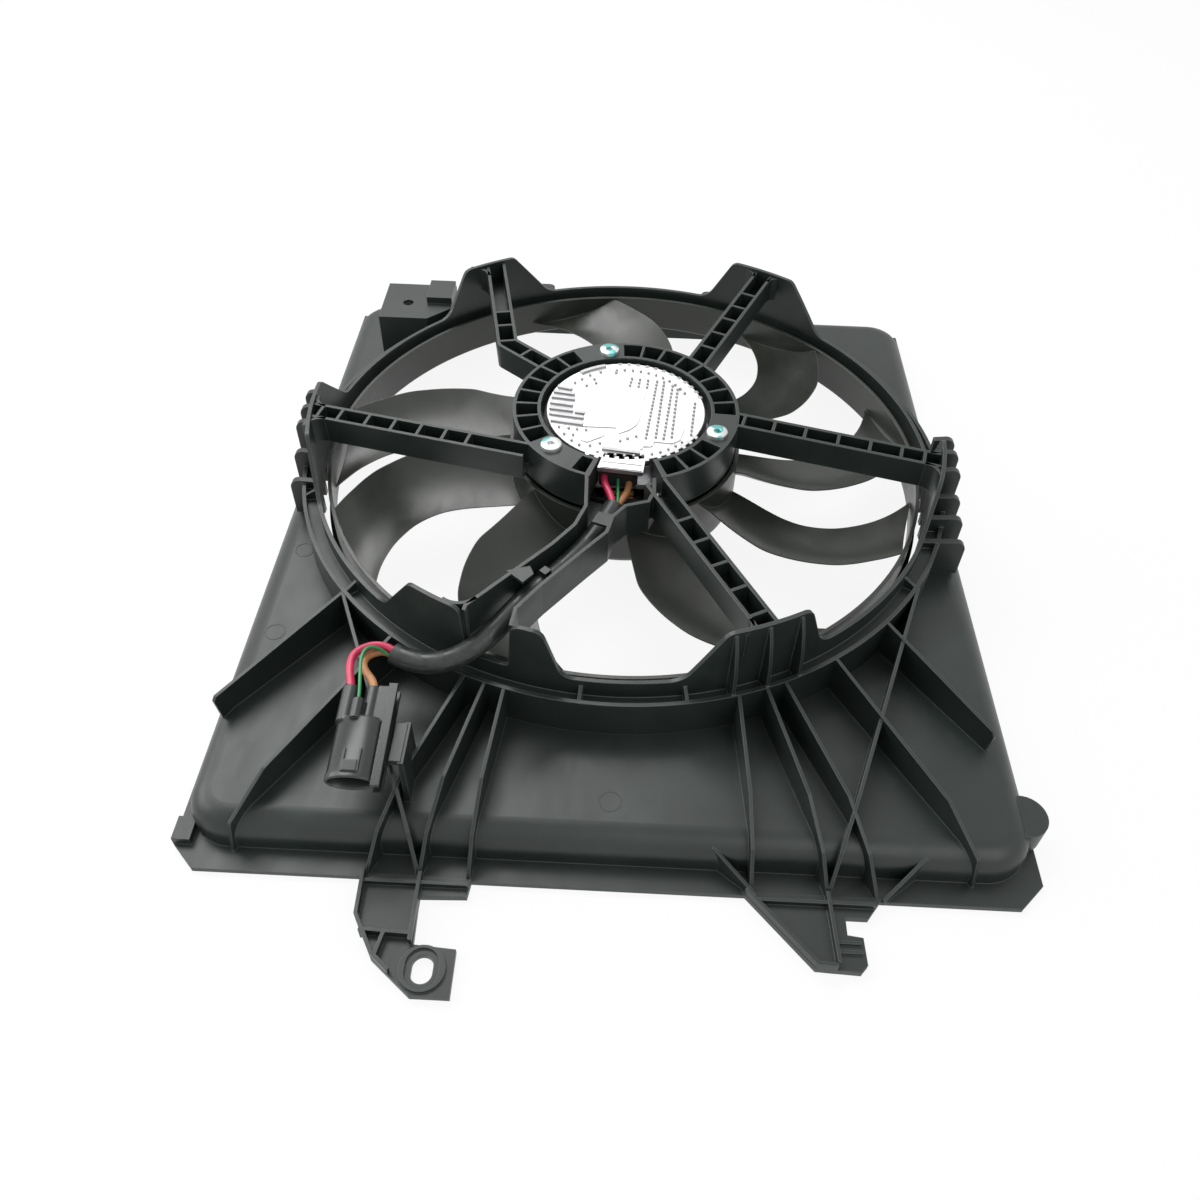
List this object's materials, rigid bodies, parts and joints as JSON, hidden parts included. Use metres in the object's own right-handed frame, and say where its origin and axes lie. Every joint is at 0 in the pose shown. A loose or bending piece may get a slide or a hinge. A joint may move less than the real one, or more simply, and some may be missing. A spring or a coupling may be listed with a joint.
{
  "type": "radiator cooling fan",
  "caption": "Radiator fan: a shallow black shroud carries a ringed fan on an electric motor held by ribbed arms, with its wiring and plug.",
  "frame": {"origin": "centre of the footprint, on the radiator side of the flange", "axes": "+Z from the radiator to the motor's cover, +X towards the side away from the plug, +Y from the lower brackets towards the two far ears"},
  "size_m": [0.471, 0.628, 0.095],
  "materials": {
    "shroud_plastic": "satin",
    "fan_plastic": "satin",
    "die_cast": "satin",
    "bell_steel": "satin",
    "zinc_steel": "satin",
    "bearing_steel": "polished",
    "lamination": "matte",
    "copper_wire": "satin",
    "ferrite": "matte",
    "insulator": "matte",
    "board": "satin",
    "capacitor_can": "satin",
    "chip": "satin",
    "rubber_black": "matte",
    "tape": "satin",
    "red_wire": "satin",
    "orange_wire": "satin",
    "green_wire": "satin",
    "plug_plastic": "satin",
    "contact_brass": "polished"
  },
  "bodies": {
    "shroud": {"shroud_pan": "shroud_plastic", "shroud_barrel": "shroud_plastic", "motor_carrier": "shroud_plastic", "motor_base": "die_cast", "front_bearing": "bearing_steel", "rear_bearing": "bearing_steel", "stator_core": "lamination", "stator_windings": "copper_wire", "stator_insulators": "insulator", "controller_board": "board", "board_posts": "insulator", "filter_capacitors": "capacitor_can", "power_transistors": "chip", "cover_gasket": "rubber_black", "heat_sink_cover": "die_cast", "cable_grommet": "rubber_black", "mounting_bolts": "zinc_steel", "cable_sleeve": "tape", "red_lead": "red_wire", "orange_lead": "orange_wire", "green_lead": "green_wire", "plug_housing": "plug_plastic", "plug_terminals": "contact_brass", "cable_tie": "shroud_plastic"},
    "rotor": {"cooling_fan": "fan_plastic", "rotor_bell": "bell_steel", "rotor_magnets": "ferrite", "motor_shaft": "bearing_steel", "fan_screws": "zinc_steel"}
  },
  "joints": [
    {"name": "fan_spin", "type": "hinge", "parent": "shroud", "child": "rotor", "pos_m": [-0.0025, 0.05, 0.045], "axis": [0, 0, 1], "continuous": true}
  ]
}
